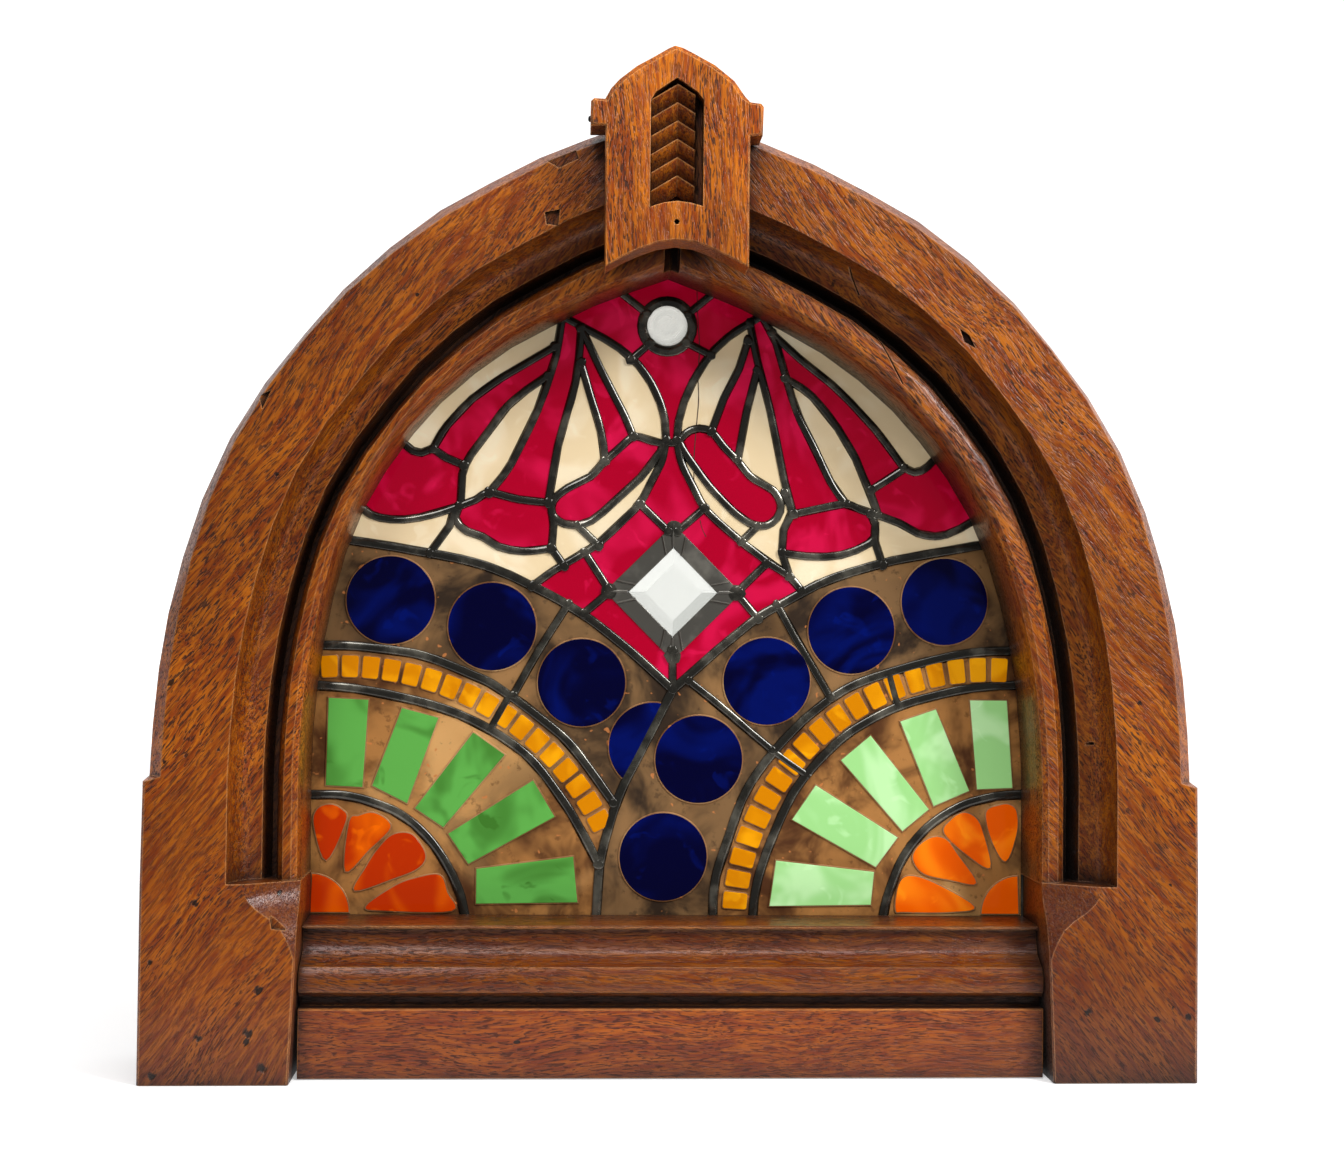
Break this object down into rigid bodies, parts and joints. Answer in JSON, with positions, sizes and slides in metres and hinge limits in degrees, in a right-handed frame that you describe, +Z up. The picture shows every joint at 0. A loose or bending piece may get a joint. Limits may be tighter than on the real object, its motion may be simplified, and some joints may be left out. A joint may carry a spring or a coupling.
{
  "type": "leaded stained glass window in an oak pointed-arch frame",
  "caption": "Free-standing oak pointed-arch window with moulded reveal, keystone and sill, glazed with a leaded panel of ruby, cream, blue, amber, green and orange glass",
  "frame": {"origin": "centre of the overall box in plan, on the underside of the plinth blocks, where the window stands", "axes": "+X to the right seen from the front, +Y to the back (the carved front faces -Y), +Z up"},
  "size_m": [0.635, 0.1244, 0.6173],
  "materials": {
    "arch_left": "oiled and varnished oak, worn, dark open pores",
    "arch_right": "oiled and varnished oak, worn, dark open pores",
    "keystone": "varnished oak, upright grain",
    "sill_rail": "varnished oak, worn arrises",
    "base_board": "varnished oak, scuffed and dark",
    "lead_cames": null,
    "cream_rim_left": "cream opal glass, smooth",
    "red_blade_left": "ruby glass, streaky, smooth",
    "cream_leaf_left": "cream opal glass, smooth",
    "red_stem_left": "ruby glass, streaky, smooth",
    "cream_drop_left": "cream opal glass, smooth",
    "red_sliver_left": "ruby glass, streaky, smooth",
    "cream_petal_left": "cream opal glass, smooth",
    "red_wing_left": "ruby glass, streaky, smooth",
    "cream_foot_left": "cream opal glass, smooth",
    "red_bell_left": "ruby glass, streaky, smooth",
    "cream_base_left": "cream opal glass, smooth",
    "red_tongue_left": "ruby glass, streaky, smooth",
    "cream_crescent_left": "cream opal glass, smooth",
    "cream_notch_left": "cream opal glass, smooth",
    "cream_rim_right": "cream opal glass, smooth",
    "red_blade_right": "ruby glass, streaky, smooth",
    "cream_leaf_right": "cream opal glass, smooth",
    "red_stem_right": "ruby glass, streaky, smooth",
    "cream_drop_right": "cream opal glass, smooth",
    "red_sliver_right": "ruby glass, streaky, smooth",
    "cream_petal_right": "cream opal glass, smooth",
    "red_wing_right": "ruby glass, streaky, smooth",
    "cream_foot_right": "cream opal glass, smooth",
    "red_bell_right": "ruby glass, streaky, smooth",
    "cream_base_right": "cream opal glass, smooth",
    "red_tongue_right": "ruby glass, streaky, smooth",
    "cream_crescent_right": "cream opal glass, smooth",
    "cream_notch_right": "cream opal glass, smooth",
    "red_crown_left": "ruby glass, streaky, smooth",
    "red_crown_top": "ruby glass, streaky, smooth",
    "red_crown_right": "ruby glass, streaky, smooth",
    "red_throat": "ruby glass, streaky, smooth",
    "red_kite": "ruby glass, streaky, smooth",
    "red_strip_upper_left": "ruby glass, streaky, smooth",
    "red_strip_upper_right": "ruby glass, streaky, smooth",
    "red_strip_lower_left": "ruby glass, streaky, smooth",
    "red_strip_lower_right": "ruby glass, streaky, smooth",
    "red_square_left": "ruby glass, streaky, smooth",
    "red_square_right": "ruby glass, streaky, smooth",
    "plate_band_left_outer": "patinated copper sheet set with coloured glass",
    "plate_band_left_inner": "patinated copper sheet set with coloured glass",
    "plate_band_right_outer": "patinated copper sheet set with coloured glass",
    "plate_band_right_inner": "patinated copper sheet set with coloured glass",
    "plate_band_lower": "patinated copper sheet set with coloured glass",
    "plate_amber_left": "patinated copper sheet set with coloured glass",
    "plate_amber_right": "patinated copper sheet set with coloured glass",
    "plate_fan_left": "patinated copper sheet set with coloured glass",
    "plate_fan_right": "patinated copper sheet set with coloured glass",
    "plate_petals_left": "patinated copper sheet set with coloured glass",
    "plate_petals_right": "patinated copper sheet set with coloured glass",
    "jewel": "clear pressed jewel",
    "bevelled_diamond": "clear bevelled plate glass"
  },
  "bodies": {
    "root": {"arch_left": "arch_left", "arch_right": "arch_right", "keystone": "keystone", "sill_rail": "sill_rail", "base_board": "base_board", "lead_cames": "lead_cames", "cream_rim_left": "cream_rim_left", "red_blade_left": "red_blade_left", "cream_leaf_left": "cream_leaf_left", "red_stem_left": "red_stem_left", "cream_drop_left": "cream_drop_left", "red_sliver_left": "red_sliver_left", "cream_petal_left": "cream_petal_left", "red_wing_left": "red_wing_left", "cream_foot_left": "cream_foot_left", "red_bell_left": "red_bell_left", "cream_base_left": "cream_base_left", "red_tongue_left": "red_tongue_left", "cream_crescent_left": "cream_crescent_left", "cream_notch_left": "cream_notch_left", "cream_rim_right": "cream_rim_right", "red_blade_right": "red_blade_right", "cream_leaf_right": "cream_leaf_right", "red_stem_right": "red_stem_right", "cream_drop_right": "cream_drop_right", "red_sliver_right": "red_sliver_right", "cream_petal_right": "cream_petal_right", "red_wing_right": "red_wing_right", "cream_foot_right": "cream_foot_right", "red_bell_right": "red_bell_right", "cream_base_right": "cream_base_right", "red_tongue_right": "red_tongue_right", "cream_crescent_right": "cream_crescent_right", "cream_notch_right": "cream_notch_right", "red_crown_left": "red_crown_left", "red_crown_top": "red_crown_top", "red_crown_right": "red_crown_right", "red_throat": "red_throat", "red_kite": "red_kite", "red_strip_upper_left": "red_strip_upper_left", "red_strip_upper_right": "red_strip_upper_right", "red_strip_lower_left": "red_strip_lower_left", "red_strip_lower_right": "red_strip_lower_right", "red_square_left": "red_square_left", "red_square_right": "red_square_right", "plate_band_left_outer": "plate_band_left_outer", "plate_band_left_inner": "plate_band_left_inner", "plate_band_right_outer": "plate_band_right_outer", "plate_band_right_inner": "plate_band_right_inner", "plate_band_lower": "plate_band_lower", "plate_amber_left": "plate_amber_left", "plate_amber_right": "plate_amber_right", "plate_fan_left": "plate_fan_left", "plate_fan_right": "plate_fan_right", "plate_petals_left": "plate_petals_left", "plate_petals_right": "plate_petals_right", "jewel": "jewel", "bevelled_diamond": "bevelled_diamond"}
  },
  "joints": []
}
